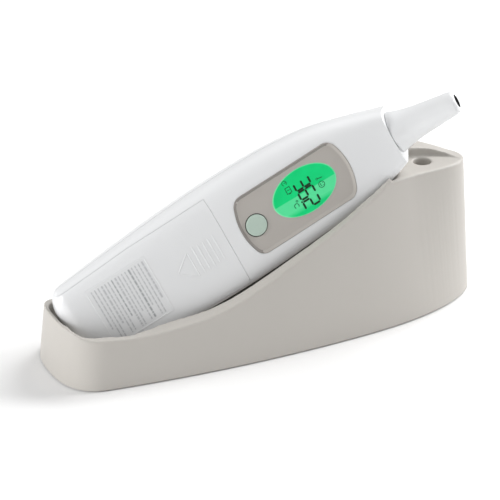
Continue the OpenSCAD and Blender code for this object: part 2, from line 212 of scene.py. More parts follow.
def combine(obj, other, how="DIFFERENCE", keep=False):
    """Cut other out of obj, or join or intersect them; other is deleted unless it is kept."""
    mod = obj.modifiers.new("cut", "BOOLEAN")
    mod.operation = how
    mod.solver = "MANIFOLD"
    mod.object = other
    apply_modifiers(obj)
    if not keep:
        bpy.data.objects.remove(other, do_unlink=True)
    return obj


def apply_modifiers(obj):
    dg = bpy.context.evaluated_depsgraph_get()
    done = bpy.data.meshes.new_from_object(obj.evaluated_get(dg), depsgraph=dg)
    obj.modifiers.clear()
    old = obj.data
    obj.data = done
    bpy.data.meshes.remove(old)
    return obj


def copy_of(obj, name):
    new = bpy.data.objects.new(name, obj.data.copy())
    bpy.context.collection.objects.link(new)
    return new


def tidy(obj, angle=32, merge=0.004):
    """Merge points closer than merge (mm) and shade smooth, with edges over the angle kept sharp."""
    bm = bmesh.new()
    bm.from_mesh(obj.data)
    bmesh.ops.remove_doubles(bm, verts=bm.verts, dist=merge * MM)
    bmesh.ops.dissolve_degenerate(bm, dist=merge * MM, edges=bm.edges)
    bm.to_mesh(obj.data)
    bm.free()
    obj.data.polygons.foreach_set("use_smooth", [True] * len(obj.data.polygons))
    obj.data.set_sharp_from_angle(angle=math.radians(angle))
    obj.data.update()
    return obj


def remesh(obj, voxel, rounds):
    """Even mesh of the given voxel size (mm), which softens every edge."""
    mod = obj.modifiers.new("remesh", "REMESH")
    mod.mode = "VOXEL"
    mod.voxel_size = voxel * MM
    mod.use_smooth_shade = True
    smooth = obj.modifiers.new("smooth", "SMOOTH")
    smooth.factor = 0.5
    smooth.iterations = rounds
    apply_modifiers(obj)
    obj.data.polygons.foreach_set("use_smooth", [True] * len(obj.data.polygons))
    return obj


def finish_piece(obj, name, body, slot, material, *nodes):
    """Name a visible piece, give it the material, attach it to its body and hide the CAD nodes that it
    stands for; slot is not used.
    """
    obj.name = name
    obj.data.name = name
    obj.data.materials.clear()
    obj.data.materials.append(material)
    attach(obj, body)
    if nodes:
        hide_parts(*nodes)
    return obj


def revolve(name, profile, matrix, count):
    """Closed solid from (radius, height) points that go up the outside and down the bore."""
    a = np.arange(count) * 2 * math.pi / count
    rings = np.array([[(r * math.cos(q), r * math.sin(q), h) for q in a] for r, h in profile])
    n, m, _ = rings.shape
    faces = []
    for i in range(n):
        k = (i + 1) % n
        for j in range(m):
            faces.append((i * m + j, i * m + (j + 1) % m, k * m + (j + 1) % m, k * m + j))
    obj = new_object(name, rings.reshape(-1, 3), faces, matrix)
    outward(obj)
    return obj


def spline(points, count):
    """Evenly spread points on a smooth curve through the given ones."""
    p = np.array(points, float)
    d = np.r_[0, np.cumsum(np.linalg.norm(np.diff(p, axis=0), axis=1))]
    x = np.linspace(0, d[-1], count)
    return np.stack([curve(list(zip(d, p[:, i])), x) for i in range(p.shape[1])], axis=1)


# ---- materials ------------------------------------------------------------------
def linear(c):
    return c / 12.92 if c <= 0.04045 else ((c + 0.055) / 1.055) ** 2.4


def srgb(r, g, b):
    return (linear(r / 255), linear(g / 255), linear(b / 255), 1)


class Nodes:
    """A small wrapper for building a node material."""

    def __init__(self, name):
        self.mat = bpy.data.materials.new(name)
        self.mat.use_nodes = True
        self.tree = self.mat.node_tree
        self.shader = self.tree.nodes["Principled BSDF"]
        self.coords = self.tree.nodes.new("ShaderNodeTexCoord").outputs["Object"]

    def add(self, kind, **values):
        node = self.tree.nodes.new(kind)
        for k, v in values.items():
            setattr(node, k, v)
        return node

    def link(self, a, b):
        self.tree.links.new(a, b)

    def set(self, **values):
        for k, v in values.items():
            self.shader.inputs[k.replace("_", " ")].default_value = v

    def noise(self, scale, detail=3.0, rough=0.5, stretch=None):
        node = self.add("ShaderNodeTexNoise")
        node.inputs["Scale"].default_value = scale
        node.inputs["Detail"].default_value = detail
        node.inputs["Roughness"].default_value = rough
        source = self.coords
        if stretch:
            mapping = self.add("ShaderNodeMapping")
            mapping.inputs["Scale"].default_value = stretch
            self.link(source, mapping.inputs["Vector"])
            source = mapping.outputs["Vector"]
        self.link(source, node.inputs["Vector"])
        return node.outputs["Fac"]

    def ramp(self, fac, stops):
        node = self.add("ShaderNodeValToRGB")
        e = node.color_ramp.elements
        while len(e) < len(stops):
            e.new(0.5)
        for item, (pos, col) in zip(e, stops):
            item.position = pos
            item.color = col
        self.link(fac, node.inputs["Fac"])
        return node.outputs["Color"]

    def spread(self, fac, low, high):
        node = self.add("ShaderNodeMapRange")
        node.inputs["To Min"].default_value = low
        node.inputs["To Max"].default_value = high
        self.link(fac, node.inputs["Value"])
        return node.outputs["Result"]

    def bump(self, height, strength, distance):
        node = self.add("ShaderNodeBump")
        node.inputs["Strength"].default_value = strength
        node.inputs["Distance"].default_value = distance
        self.link(height, node.inputs["Height"])
        self.link(node.outputs["Normal"], self.shader.inputs["Normal"])


def shade(c, k):
    """The colour c, k times as bright."""
    return tuple(min(1.0, x * k) for x in c[:3]) + (1,)


def plastic(name, colour, rough, grain, bump, vary, coat=0.0, wide=22.0):
    """Moulded plastic: colour and roughness vary slightly, over a fine grain."""
    n = Nodes(name)
    big = n.noise(wide, 3.0)
    stops = [(0.3, shade(colour, 1 - vary)), (0.7, shade(colour, 1 + vary))]
    n.link(n.ramp(big, stops), n.shader.inputs["Base Color"])
    fine = n.noise(grain, 2.0)
    n.link(n.spread(n.noise(wide * 3, 2.0), *rough), n.shader.inputs["Roughness"])
    n.bump(fine, bump, 0.06 * MM)
    n.set(Coat_Weight=coat, Coat_Roughness=0.12)
    return n.mat


def metal(name, colour):
    """Metal with fine streaks across z."""
    n = Nodes(name)
    streak = n.noise(700, 3.0, 0.6, (1, 1, 12))
    n.link(n.ramp(streak, [(0.3, shade(colour, 0.86)), (0.7, colour)]), n.shader.inputs["Base Color"])
    n.link(n.spread(streak, 0.22, 0.42), n.shader.inputs["Roughness"])
    n.bump(streak, 0.04, 0.04 * MM)
    n.set(Metallic=1.0)
    return n.mat


WHITE = plastic("white_plastic", srgb(232, 233, 234), (0.27, 0.35), 1400, 0.012, 0.008, 0.1)
WARM = plastic("warm_grey_plastic", srgb(192, 188, 182), (0.40, 0.50), 1900, 0.05, 0.014)
TAUPE = plastic("taupe_plastic", srgb(183, 178, 172), (0.30, 0.38), 1500, 0.03, 0.02, 0.1)
# painted shade: darker taupe for the shaded side of the display panel's border
TAUPE_PAINTED_SHADE = plastic("taupe_painted_shade", srgb(142, 137, 132), (0.34, 0.42), 1500, 0.03, 0.02)
MINT = plastic("mint_plastic", srgb(184, 202, 190), (0.30, 0.38), 1500, 0.02, 0.02, 0.1, 160.0)
# also used as painted shade: on the walls of the probe tip's opening and in the well under the button
DARK = plastic("dark_plastic", srgb(46, 46, 48), (0.42, 0.52), 1700, 0.08, 0.06)
RUBBER = plastic("black_rubber", srgb(44, 44, 44), (0.72, 0.84), 1200, 0.14, 0.08)
BOARD = plastic("board_green", srgb(22, 92, 52), (0.32, 0.44), 500, 0.05, 0.1, 0.2)
CELL = plastic("cell_wrap", srgb(60, 84, 108), (0.20, 0.28), 900, 0.02, 0.04, 0.4)
GLASS = plastic("dark_glass", srgb(26, 27, 30), (0.05, 0.10), 600, 0.01, 0.03, 0.6)
PRINT = plastic("grey_print", srgb(196, 197, 199), (0.42, 0.5), 1600, 0.02, 0.05)
PRINT_DARK = plastic("dark_print", srgb(172, 174, 176), (0.42, 0.5), 1600, 0.02, 0.05)
LABEL = plastic("label_film", srgb(231, 232, 233), (0.18, 0.26), 900, 0.01, 0.01, 0.3)
SEGMENT = plastic("lcd_segment", srgb(4, 52, 24), (0.16, 0.22), 900, 0.01, 0.03)
ICON = plastic("lcd_icon", srgb(4, 96, 52), (0.16, 0.22), 900, 0.01, 0.03)
STEEL = metal("steel", srgb(198, 199, 202))
GOLD = metal("gold", srgb(226, 190, 112))
ALU = metal("aluminium", srgb(206, 207, 210))


# The painted reflection band on the window: its slope in s, and the offsets of its two edges
BAND = (-0.03, 0.43, 5.2)


def lit_window():
    """Green backlit window: a painted lighter diagonal reflection band, a painted paler glow at its rim and
    faint unevenness.
    """
    n = Nodes("green_window")
    mapping = n.add("ShaderNodeMapping", vector_type="TEXTURE")
    mapping.inputs["Location"].default_value = tuple(ORG)
    mapping.inputs["Rotation"].default_value = Matrix((PX, TX, NX)).transposed().to_euler()
    mapping.inputs["Scale"].default_value = (MM, MM, MM)
    n.link(n.coords, mapping.inputs["Vector"])
    split = n.add("ShaderNodeSeparateXYZ")
    n.link(mapping.outputs["Vector"], split.inputs["Vector"])

    def calc(op, a, b=None, c=None):
        node = n.add("ShaderNodeMath", operation=op)
        for k, v in enumerate((a, b, c)):
            if v is None:
                continue
            if isinstance(v, (int, float)):
                node.inputs[k].default_value = v
            else:
                n.link(v, node.inputs[k])
        return node.outputs[0]

    s, t = split.outputs["X"], split.outputs["Y"]
    along = calc("POWER", calc("DIVIDE", s, LENS_A), 2.0)
    across = calc("POWER", calc("DIVIDE", t, LENS_B), 2.0)
    radius = calc("SQRT", calc("ADD", along, across))
    # the painted reflection band lies between two lines of q
    q = calc("SUBTRACT", calc("MULTIPLY", s, BAND[0]), t)
    low = n.add("ShaderNodeMapRange")
    low.inputs["From Min"].default_value = BAND[1] - 0.15
    low.inputs["From Max"].default_value = BAND[1] + 0.15
    n.link(q, low.inputs["Value"])
    high = n.add("ShaderNodeMapRange")
    high.inputs["From Min"].default_value = BAND[2] - 0.8
    high.inputs["From Max"].default_value = BAND[2] + 0.8
    high.inputs["To Min"].default_value = 1
    high.inputs["To Max"].default_value = 0
    n.link(q, high.inputs["Value"])
    band = calc("MULTIPLY", low.outputs[0], high.outputs[0])
    uneven = n.noise(140, 2.0)
    base = n.ramp(uneven, [(0.3, srgb(0, 196, 112)), (0.7, srgb(8, 208, 122))])
    mix = n.add("ShaderNodeMix", data_type="RGBA")
    n.link(band, mix.inputs["Factor"])
    n.link(base, mix.inputs["A"])
    mix.inputs["B"].default_value = srgb(84, 218, 150)
    # painted glow: the colour turns paler towards the window's rim
    rim = n.add("ShaderNodeMapRange")
    rim.inputs["From Min"].default_value = 0.955
    rim.inputs["From Max"].default_value = 0.995
    n.link(radius, rim.inputs["Value"])
    edge = n.add("ShaderNodeMix", data_type="RGBA")
    n.link(rim.outputs[0], edge.inputs["Factor"])
    n.link(mix.outputs["Result"], edge.inputs["A"])
    edge.inputs["B"].default_value = srgb(120, 226, 170)
    n.link(edge.outputs["Result"], n.shader.inputs["Base Color"])
    # the painted reflection band and rim glow also go into the emission colour
    n.link(edge.outputs["Result"], n.shader.inputs["Emission Color"])
    n.link(n.spread(uneven, 0.10, 0.16), n.shader.inputs["Roughness"])
    n.set(Emission_Strength=0.18, Specular_IOR_Level=0.35)
    return n.mat


WINDOW = lit_window()
LCD = plastic("lcd", srgb(110, 150, 125), (0.12, 0.2), 900, 0.01, 0.03)
DIFFUSER = plastic("green_diffuser", srgb(90, 222, 160), (0.4, 0.5), 900, 0.02, 0.03)

# ---- base -----------------------------------------------------------------------
BASE_LEN, BASE_WIDE, BASE_WALL, FRONT_LIMIT = 157.5, 49.4, 1.8, -17.2
BASE_STEPS = 260
BASE_SCREWS = [(-28, 16), (-28, -16), (62, 6), (62, -6)]
LEFT_FEET = [(-68, -11), (-68, 11)]
# The round hole in the shelf
PEG_R, PEG_DEPTH = 3.0, 10
# A small inset that keeps the skin inside the CAD's box, and the size and rounds of its smoothing
SKIN_INSET, VOXEL, SMOOTHING = 0.03, 0.38, 9


def side_b(v):
    """Half-width of the base at the share v of its length, as a share of the widest."""
    x = -BASE_LEN / 2 + v * BASE_LEN
    q = x + 5.75
    left = np.maximum(0, 1 - np.clip((-65.75 - x) / 13, 0, 1) ** 2.6) ** (1 / 2.6)
    right = np.maximum(0, 1 - np.clip((x - 16.25) / 62.5, 0, 1) ** 3.6) ** (1 / 2.2)
    return (1 - 0.161 * (q / 60) ** 2) * left * right


def lean(x, z):
    """How far the right end leans forwards at height z."""
    u = np.clip((x - 45) / 30, 0, 1)
    return -6 * z / 52 * u * u * (3 - 2 * u)


def base_ring(z, g):
    """Outline of the base at height z, moved inwards by g."""
    i = np.arange(BASE_STEPS + 1)
    v = 0.5 * (1 - np.cos(i / BASE_STEPS * math.pi))
    xl = -BASE_LEN / 2 + 0.09 * (z - FOOT_H)
    xr = BASE_LEN / 2 - 0.135 * (z - FOOT_H)
    x = xl + g + v * (xr - xl - 2 * g)
    f = -(BASE_WIDE / 2 - 0.109 * (z - FOOT_H) - g) * side_b(v) + lean(x, z)
    b = (BASE_WIDE / 2 - 0.168 * (z - FOOT_H) - g) * side_b(v) + lean(x, z)
    front = np.stack([x, f, np.full_like(x, z)], 1)
    rear = np.stack([x, b, np.full_like(x, z)], 1)[-2:0:-1]
    return np.concatenate([front, rear])


def base_solid(z0, z1, g):
    return loft("cut", [base_ring(z, g) for z in (z0, z1)], BASE)


def above_rim(dz):
    """Everything over the rim line, raised by dz."""
    x = np.linspace(-80, 80, 200)
    pts = [(a, b + dz) for a, b in zip(x, curve(K_RIM, x))] + [(80, 90), (-80, 90)]
    turn = Matrix(((1, 0, 0, 0), (0, 0, -1, 0), (0, 1, 0, 0), (0, 0, 0, 1)))
    return prism(pts, -60, 60, BASE @ turn)


TAIL_GAP = 1.1
# Room beside and behind the body, and in front of its face
ROOM_SIDE, ROOM_FRONT = 0.9, 2.6
# lift_out's direction in s and t, and how far the trough stays open along it
LIFT_S, LIFT_T, OPEN_UP = 0.3806, 0.9248, 60
# How far the room's limit is moved to the left, to clear the battery cover's slide
SLIDE_ROOM = 0.3


def ease(u):
    """Smooth step from 0 to 1."""
    u = np.clip(u, 0, 1)
    return u * u * (3 - 2 * u)


def side_room(q):
    """Extra room beside the body, half way along."""
    return 1.5 * np.exp(-((q + 26) / 26) ** 2)


def front_room(q):
    """Extra room in front of the tail, and less beside the nose."""
    return 4.4 * (1 - ease((q + 78) / 20)) - 1.7 * ease((q - 8) / 16)


def trough(g, fr):
    """The body's room in the base: g wider all round, and fr in front of the face."""
    first = TAIL - TAIL_GAP + 7.4 * (1 - np.cos(np.radians(np.linspace(0, 75, 24))))
    stations = np.r_[first, np.linspace(first[-1], 46, 90)[1:]]
    rings = []
    a = np.radians(90 + np.linspace(0, 180, 73))
    for s in stations:
        q = max(s + TAIL_GAP, TAIL + 0.03)
        w = half(q, K_LOW) + g + side_room(q)
        f = face(q) + fr + front_room(q)
        b = back(q + 6 if q < -36 else q)
        up = np.sin(a) >= 0
        t = -w * power(-np.cos(a), np.where(up, 2 / LOW_E, 2 / SIDE_E))
        n = np.where(up, PART_N + (f - PART_N) * power(np.sin(a), 2 / LOW_E),
                     PART_N + (PART_N - b + g) * power(np.sin(a), 2 / BACK_E))
        ring = [(s, x, y) for x, y in zip(t, n)]
        opening = (s + OPEN_UP * LIFT_S, OPEN_UP * LIFT_T)
        ring += [(*opening, b - g), (*opening, f)]
        rings.append(ring)
    return loft("cut", rings, TH)


def column(x, y, z0, z1, r, n=96, matrix=BASE):
    """Round upright prism of radius r."""
    a = np.arange(n) * 2 * math.pi / n
    return prism([(x + r * math.cos(q), y + r * math.sin(q)) for q in a], z0, z1, matrix)


def base_room():
    """The trough as it is cut, kept within the base's walls."""
    room = trough(ROOM_SIDE, ROOM_FRONT)
    combine(room, solid_box((TAIL - TAIL_GAP, -2, -22), (TAIL + 12, 24, -2), TH), "UNION")
    limit = base_solid(0.95, 70, BASE_WALL)
    limit.data.transform(Matrix.Translation((-SLIDE_ROOM * MM, 0, 0)))
    combine(room, limit, "INTERSECT")
    outline = [(-90, -19.4), (-62, -19.4), (-44, FRONT_LIMIT), (90, FRONT_LIMIT), (90, 60), (-90, 60)]
    return combine(room, prism(outline, 0, 90, BASE), "INTERSECT")


def base_hollow():
    """The space inside the shell, around the trough, the shelf, its hole and the screw posts."""
    hollow = base_solid(-1, 56, BASE_WALL + 0.4)
    combine(hollow, solid_box((-44.3, -40, -2), (95.7, 40, 68), BASE), "INTERSECT")
    combine(hollow, trough(ROOM_SIDE + BASE_WALL, ROOM_FRONT + BASE_WALL))
    combine(hollow, solid_box((-60, -60, 12), (40, FRONT_LIMIT + BASE_WALL, 62), BASE))
    combine(hollow, above_rim(-2.4))
    combine(hollow, solid_box((36, -40, 49), (96, 40, 69), BASE))
    combine(hollow, column(*PEG_AT, SHELF - PEG_DEPTH - 2, SHELF + 10, PEG_R + 2))
    for x, y in BASE_SCREWS:
        combine(hollow, column(x, y, 2.4, 62.4, 3.2))
    return hollow


def make_base():
    shell = base_solid(FOOT_H - 2, 58, SKIN_INSET)
    combine(shell, above_rim(0))
    x = np.linspace(38.6, 80, 90)
    shelf_outline = [(80, -60), (38.6, -60)] + list(zip(x, curve(K_WALL, x)))
    combine(shell, prism(shelf_outline, SHELF, SHELF + 20, BASE))
    combine(shell, base_room())
    combine(shell, base_hollow())
    combine(shell, column(*PEG_AT, SHELF - PEG_DEPTH, SHELF + 10, PEG_R))
    for x, y in BASE_SCREWS:
        combine(shell, column(x, y, -1, 8.2, 1.3))
    for x, y in LEFT_FEET:
        combine(shell, column(x, y, -1, 0.9, 4.2))
    remesh(shell, VOXEL, SMOOTHING)
    combine(shell, solid_box((-90, -60, -9), (90, 60, FOOT_H), BASE))
    finish_piece(shell, "base_shell_skin", "base", "warm_grey_plastic", WARM, "base_shell")


# ---- thermometer body --------------------------------------------------------------
BODY_STEPS = 168


def body_ring(s, g):
    """Section of the body at s, grown by g."""
    a = -np.arange(BODY_STEPS) * 2 * math.pi / BODY_STEPS + math.radians(5)
    front = np.sin(a) >= 0
    side = np.where(np.cos(a) >= 0, half(s, K_UP), half(s, K_LOW)) + g
    edge = np.where(np.cos(a) >= 0, FRONT_E, LOW_E)
    t = side * power(np.cos(a), np.where(front, 2 / edge, 2 / SIDE_E))
    n = np.where(front, PART_N + (face(s) - PART_N + g) * power(np.sin(a), 2 / edge),
                 PART_N + (PART_N - back(s) + g) * power(np.sin(a), 2 / BACK_E))
    return np.stack([np.full_like(t, s), t, n], 1)


def past_seam(d):
    """Everything beyond the slanted plane where the probe meets the body, from d before it."""
    turn = Matrix.Translation(SEAM_AT) @ YAW @ Matrix.Rotation(math.radians(-PROBE_TILT), 4, "Y")
    return solid_box((-d, -40, -60), (80 - d, 40, 60), TH @ turn)


YAW = Matrix.Rotation(math.radians(PROBE_YAW), 4, "Z")
PAXIS = TH @ Matrix.Translation(PROBE_AT) @ YAW @ Matrix.Rotation(math.radians(90 - PROBE_TILT), 4, "Y")


def body_solid(g, start, seam):
    """The body grown by g, from start to the probe's seam."""
    first = start + 9 * (1 - np.cos(np.radians(np.linspace(0, 90, 22))))
    stations = np.r_[first, np.linspace(first[-1], NOSE + g * 0.6, 150)[1:]]
    solid = loft("body", [body_ring(s, g) for s in stations], TH)
    return combine(solid, past_seam(seam))


def cover_zone(g):
    """The battery cover's share of the body, g smaller all round."""
    end = COVER_S - g
    pts = [(end, -17.0 + g), (end, 15.4 - g), (-60, 14.9 - g), (-96, 12.6 - g), (-96, -12.6 + g),
           (-60, -15.5 + g)]
    return prism(pts, PART_N + 2 + g, 22, TH)


PANEL_AT, PANEL_HALF, PANEL_END, PANEL_R = (-3.9, -0.6), 10.6, 21.5, 4.0


def panel_outline(inset):
    """Rounded outline: straight long sides, bowed ends and soft corners, moved inwards by inset."""
    each = 36
    h, big, r = PANEL_HALF - PANEL_R, PANEL_END - PANEL_R, PANEL_R - inset
    corner = math.asin(h / big)
    cx = big * math.cos(corner)
    quarter = [(cx + r * math.cos(q), h + r * math.sin(q)) for q in np.linspace(corner, math.pi / 2, each)]
    arc = [((big + r) * math.cos(q), (big + r) * math.sin(q)) for q in np.linspace(0, corner, each)[:-1]]
    top = arc + quarter + [(x, h + r) for x in np.linspace(cx, 0, each)[1:]]
    left = [(-x, y) for x, y in top[-2::-1]]
    upper = top + left
    lower = [(x, -y) for x, y in upper[-2:0:-1]]
    return [(PANEL_AT[0] + x, PANEL_AT[1] + y) for x, y in upper + lower]


def panel_edge(x, y):
    """How far a point lies inside the outline, roughly, and which way that edge faces."""
    x, y = x - PANEL_AT[0], y - PANEL_AT[1]
    side, end = PANEL_HALF - abs(y), PANEL_END - math.hypot(x, y)
    return (side, (0, math.copysign(1, y))) if side < end else (end, (math.copysign(1, x), 0))


BOSSES = [(18, 8.0), (18, -8.0), (-27, 12.2), (-27, -12.2)]
BOSS_R, NECK_R = 2.5, 6.2
# The gap drawn around the battery cover, narrower than the CAD's SEAM
COVER_GAP = 0.09


def make_housings():
    outer = body_solid(0, TAIL + 0.02, 0)
    inner = body_solid(-WALL, TAIL + 2.3, 1.6)
    front = copy_of(outer, "front")
    rear = copy_of(outer, "rear")
    cover = copy_of(outer, "cover")
    combine(front, solid_box((-120, -60, PART_N + SEAM / 2), (120, 60, 50), TH), "INTERSECT")
    combine(rear, solid_box((-120, -60, -70), (120, 60, PART_N - SEAM / 2), TH), "INTERSECT")
    for part in (front, rear, cover):
        combine(part, inner, keep=True)
    combine(front, cover_zone(0))
    combine(cover, cover_zone(COVER_GAP), "INTERSECT")
    combine(front, loft("cut", [[(x, y, z) for x, y in panel_outline(-0.1)] for z in (-9, 9)], TH))
    for x, y in BOSSES:
        combine(rear, column(x, y, -50, -18.5, BOSS_R, matrix=TH))
    for part in (front, rear):
        combine(part, column(0, 0, -4, 4, NECK_R, matrix=PAXIS))
    for obj in (outer, inner):
        bpy.data.objects.remove(obj, do_unlink=True)
    for part in (front, rear, cover):
        tidy(part)
    finish_piece(front, "front_housing_skin", "thermometer", "white_plastic", WHITE, "front_housing")
    finish_piece(rear, "rear_housing_skin", "thermometer", "white_plastic", WHITE, "rear_housing")
    finish_piece(cover, "battery_cover_skin", "cover", "white_plastic", WHITE, "battery_cover")


# ---- strips and patches that follow the front skin ----------------------------------
BEAD_SINK = 0.12


def around(points):
    """Each point with the next one, back to the start."""
    return list(zip(points, points[1:] + points[:1]))


def bead(points, width, height):
    """Rings of a raised rounded line along (s, t) points on the skin, with slimmer ends."""
    p = np.array(points, float)
    tangent = np.gradient(p, axis=0)
    tangent /= np.linalg.norm(tangent, axis=1)[:, None] + 1e-9
    side = np.stack([-tangent[:, 1], tangent[:, 0]], 1)
    section = [(-0.5, -BEAD_SINK), (-0.47, height * 0.45), (-0.33, height * 0.85), (0, height),
               (0.33, height * 0.85), (0.47, height * 0.45), (0.5, -BEAD_SINK)]
    rings = []
    for i, (c, d) in enumerate(zip(p, side)):
        taper = min(1.0, 0.25 + min(i, len(p) - 1 - i) * 0.5)
        ring = []
        for u, h in section:
            s, t = c + d * u * width * (0.55 + 0.45 * taper)
            ring.append((s, t, float(on_face(s, t)) + (h * taper if h > 0 else h)))
        rings.append(ring)
    return np.array(rings)


def beads(name, lines, body, slot, material):
    """Several raised lines as one piece."""
    verts, faces = [], []
    for points, width, height in lines:
        rings = bead(points, width, height)
        n, m, _ = rings.shape
        start = len(verts)
        verts += [tuple(v) for v in rings.reshape(-1, 3)]
        faces += [tuple(start + k for k in f) for f in grid_faces(n, m)]
        faces.append(tuple(start + j for j in range(m)))
        faces.append(tuple(start + (n - 1) * m + j for j in range(m)))
    obj = new_object(name, verts, faces, TH)
    outward(obj)
    tidy(obj, 50, 0.001)
    finish_piece(obj, name, body, slot, material)


def line(a, b, count):
    """Evenly spread points from a to b."""
    return [tuple(p + (q - p) * i / (count - 1) for p, q in zip(a, b)) for i in range(count)]


def plates(name, quads, lift, thick, body, slot, material, skin=on_face):
    """Thin flat plates in one piece; each is a closed outline of (s, t) points laid on the skin."""
    verts, faces = [], []
    for quad in quads:
        m = len(quad)
        start = len(verts)
        for h in (lift - thick, lift):
            for s, t in quad:
                verts.append((s, t, float(skin(s, t)) + h))
        faces.append(tuple(start + m + j for j in range(m)))
        faces.append(tuple(start + m - 1 - j for j in range(m)))
        faces += [(start + j, start + (j + 1) % m, start + m + (j + 1) % m, start + m + j) for j in range(m)]
    obj = new_object(name, verts, faces, TH)
    outward(obj)
    finish_piece(obj, name, body, slot, material)


GRIP_LINES, GRIP_START, GRIP_PITCH = 5, -42.2, 1.95


def make_cover_grip():
    """Raised grip lines, and the outline of an arrow that points to the tail."""
    lines = []
    for i in range(GRIP_LINES):
        s = GRIP_START + GRIP_PITCH * i
        lines.append((line((s, -5.4), (s, 4.4), 24), 0.6, 0.13))
    beads("cover_grip_lines", lines, "cover", "white_plastic", WHITE)
    corners = [(-44.4, -5.6), (-44.4, 3.8), (-50.3, -0.9)]
    arrow = [(line(a, b, 20), 0.35, 0.12) for a, b in around(corners)]
    beads("cover_arrow", arrow, "cover", "white_plastic", WHITE)


def make_label_film():
    """Rating label: a thin film that follows the cover, with a raised border."""
    rows, cols = 46, 42
    s = np.linspace(-79.5, -57, rows)
    t = np.linspace(-10.5, 10.5, cols)
    verts, faces = [], []
    for h in (-0.05, 0.06):
        for a in s:
            for b in t:
                verts.append((a, b, float(on_face(a, b)) + h))
    base = rows * cols
    for i in range(rows - 1):
        for j in range(cols - 1):
            q = (i * cols + j, (i + 1) * cols + j, (i + 1) * cols + j + 1, i * cols + j + 1)
            faces.append(tuple(base + k for k in q))
            faces.append(q[::-1])
    rim = [i * cols for i in range(rows)] + [(rows - 1) * cols + j for j in range(1, cols)]
    rim += [i * cols + cols - 1 for i in range(rows - 2, -1, -1)] + [j for j in range(cols - 2, 0, -1)]
    faces += [(a, b, b + base, a + base) for a, b in around(rim)]
    obj = new_object("rating_label", verts, faces, TH)
    outward(obj)
    tidy(obj, 50, 0.001)
    finish_piece(obj, "rating_label", "cover", "white_plastic", LABEL)
    corners = [(-57.4, -10.1), (-57.4, 10.1), (-79.1, 10.1), (-79.1, -10.1)]
    border = [(line(a, b, 30), 0.3, 0.12) for a, b in around(corners)]
    beads("label_border", border, "cover", "white_plastic", WHITE)


PRINT_ROWS, PRINT_START, PRINT_PITCH = 16, -58.9, 1.26


def make_label_print():
    """Rows of generic dashes in place of the label's print."""
    rng = np.random.default_rng(7)
    small, bold = [], []
    for k in range(PRINT_ROWS):
        s = PRINT_START - PRINT_PITCH * k
        t = 9.2
        tall = 0.42 if k % 4 else 0.62
        stop = -9.3 if k % 3 else -5.0
        while t > stop:
            w = min(float(rng.uniform(0.5, 2.2)), t - stop)
            if w > 0.25:
                dash = [(s, t), (s, t - w), (s + tall, t - w), (s + tall, t)]
                (bold if k in (4, 9) else small).append(dash)
            t -= w + 0.3
    plates("label_fine_print", small, 0.10, 0.04, "cover", "taupe_plastic", PRINT)
    plates("label_bold_print", bold, 0.10, 0.04, "cover", "taupe_plastic", PRINT_DARK)


# ---- display ------------------------------------------------------------------------
FLOOR_N = -0.42


def make_panel():
    """Panel with a bevelled border around a shallow recess; the border's side that lies in shade gets a
    darker material as painted shade.
    """
    levels = [(0.0, -1.35), (0.0, -0.02), (0.06, 0.06), (0.2, 0.08), (0.34, 0.02), (0.95, FLOOR_N + 0.05),
              (1.15, FLOOR_N), (1.6, FLOOR_N - 0.005)]
    rings = [[(x, y, z) for x, y in panel_outline(d)] for d, z in levels]
    inner = panel_outline(1.6)
    cx, cy = PANEL_AT
    for k in (0.8, 0.6, 0.4, 0.2, 0.05):
        rings.append([(cx + (x - cx) * k, cy + (y - cy) * k, FLOOR_N - 0.005) for x, y in inner])
    panel = loft("panel", rings, TH)
    combine(panel, column(BUTTON[0], BUTTON[1], -3, 3, BUTTON_HOLE, matrix=TH))
    tidy(panel, 40)
    finish_piece(panel, "display_panel_skin", "thermometer", "taupe_plastic", TAUPE, "display_panel")
    panel.data.materials.append(TAUPE_PAINTED_SHADE)
    # painted shade: border faces that face up and towards the tail get the darker material
    inverse = TH.inverted()
    for poly in panel.data.polygons:
        c = inverse @ poly.center
        depth, way = panel_edge(c.x, c.y)
        if depth < 1.0 and c.z > -0.5 and way[1] - 0.5 * way[0] > 0.1:
            poly.material_index = 1


# The window's edge and its crowned top: share of its half-size, and height n
LENS_EDGE = [(0.97, -0.75), (1.0, -0.6), (1.0, -0.36), (0.985, -0.28)]
LENS_TOP = [(0.95, -0.25), (0.88, -0.235), (0.7, -0.21), (0.5, -0.195), (0.3, -0.187), (0.1, -0.185)]
LENS_STEPS = 160


def make_lens():
    a = np.arange(LENS_STEPS) * 2 * math.pi / LENS_STEPS
    rings = []
    for k, z in LENS_EDGE + LENS_TOP:
        rings.append([(LENS_A * k * math.cos(q), LENS_B * k * math.sin(q), z) for q in a])
    lens = loft("lens", rings, TH)
    tidy(lens, 60)
    finish_piece(lens, "display_lens_skin", "thermometer", "green_window", WINDOW, "display_lens")


def lens_skin(s, t):
    """Height of the window's top at (s, t)."""
    shares, heights = zip(*reversed(LENS_TOP))
    return float(np.interp(math.hypot(s / LENS_A, t / LENS_B), shares, heights))


DIGITS = {"3": "abgcd", "6": "afgedc", "2": "abged"}
# The two ends of each segment in a unit cell, x along the reading and y up
CELLS = {"a": ((0, 1), (1, 1)), "b": ((1, 0.5), (1, 1)), "c": ((1, 0), (1, 0.5)), "d": ((0, 0), (1, 0)),
         "e": ((0, 0), (0, 0.5)), "f": ((0, 0.5), (0, 1)), "g": ((0, 0.5), (1, 0.5))}


def segment(x0, y0, x1, y1, w):
    """A six-sided bar between two points in reading space."""
    a, b = np.array([x0, y0]), np.array([x1, y1])
    d = (b - a) / np.linalg.norm(b - a)
    n = np.array([-d[1], d[0]])
    gap = 0.1
    a, b = a + d * gap, b - d * gap
    h = w / 2
    return [a, a + d * h + n * h, b - d * h + n * h, b, b - d * h - n * h, a + d * h - n * h]


def reading(t_left, s_low):
    """Reading space (x right, y up) to the panel's (s, t): x runs along -t and y along +s."""
    return lambda p: (s_low + p[1], t_left - p[0])


